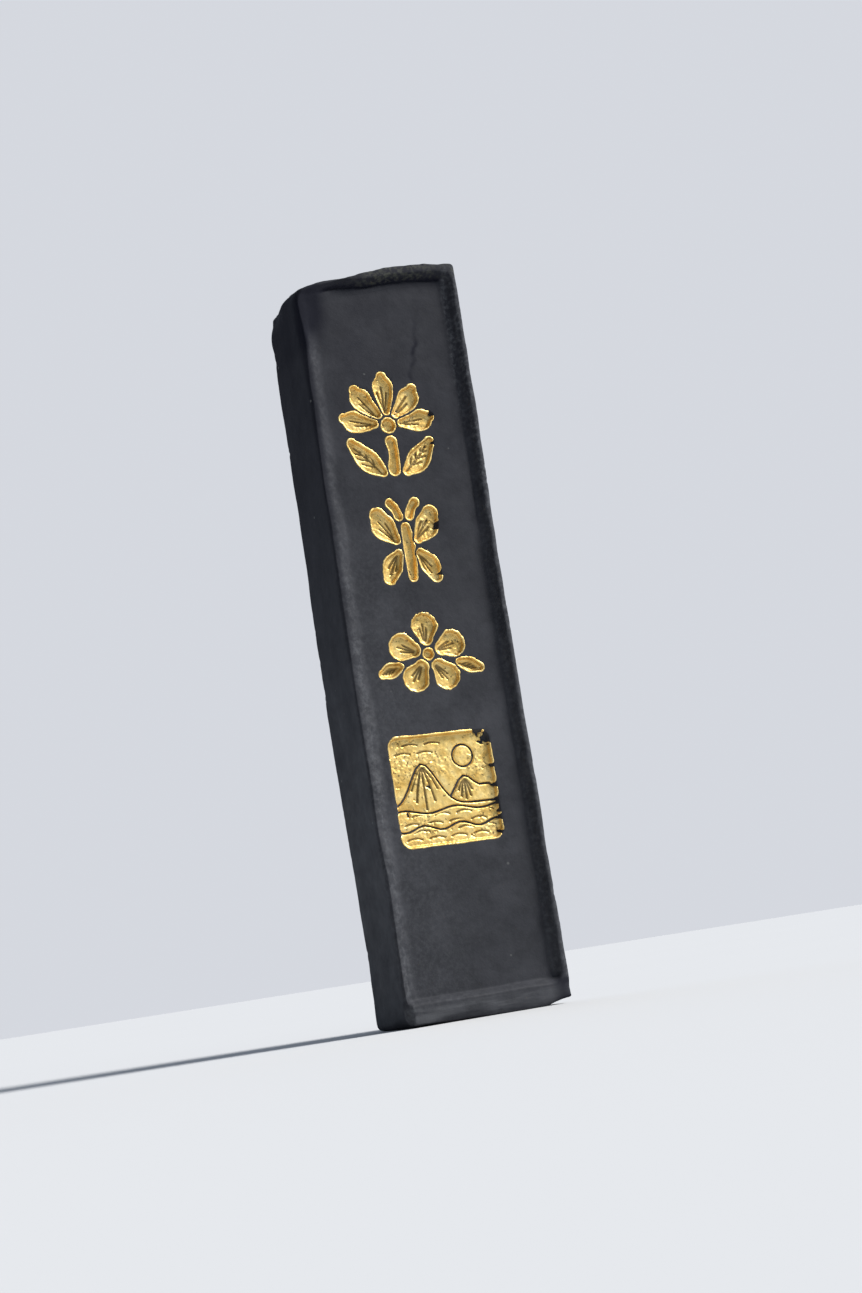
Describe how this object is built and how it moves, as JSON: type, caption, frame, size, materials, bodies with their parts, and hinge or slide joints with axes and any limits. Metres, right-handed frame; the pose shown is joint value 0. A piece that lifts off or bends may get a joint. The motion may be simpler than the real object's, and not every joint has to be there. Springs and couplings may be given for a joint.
{
  "type": "ink stick",
  "caption": "Flat rectangular stick of moulded black writing ink with a raised border, a sunk field, gilded flower and butterfly pictures and a gilded square seal.",
  "frame": {"origin": "middle of the flat bottom end, which is the grinding end", "axes": "+Z along the stick from the grinding end to the top end, -Y out of the gilded front face, +X towards the right-hand side as seen from the front"},
  "size_m": [0.022, 0.011, 0.097],
  "materials": {
    "ink": "dried soot and glue, satin, worn pale on the edges",
    "gold_pigment": "matte gold powder in glue, grainy, with small losses"
  },
  "bodies": {
    "root": {"blossom_eye": "gold_pigment", "blossom_leaf_left": "gold_pigment", "blossom_leaf_right": "gold_pigment", "blossom_petal_1": "gold_pigment", "blossom_petal_2": "gold_pigment", "blossom_petal_3": "gold_pigment", "blossom_petal_4": "gold_pigment", "blossom_petal_5": "gold_pigment", "butterfly_body": "gold_pigment", "butterfly_feeler_left": "gold_pigment", "butterfly_feeler_right": "gold_pigment", "butterfly_forewing_left": "gold_pigment", "butterfly_forewing_right": "gold_pigment", "butterfly_hindwing_left": "gold_pigment", "butterfly_hindwing_right": "gold_pigment", "ink_body": "ink", "lotus_leaf_left": "gold_pigment", "lotus_leaf_right": "gold_pigment", "lotus_petal_1": "gold_pigment", "lotus_petal_2": "gold_pigment", "lotus_petal_3": "gold_pigment", "lotus_petal_4": "gold_pigment", "lotus_petal_5": "gold_pigment", "lotus_pod": "gold_pigment", "lotus_stem": "gold_pigment", "seal_mountain_far": "gold_pigment", "seal_mountain_near": "gold_pigment", "seal_sky": "gold_pigment", "seal_sun": "gold_pigment", "seal_water_far": "gold_pigment", "seal_water_near": "gold_pigment"}
  },
  "joints": []
}
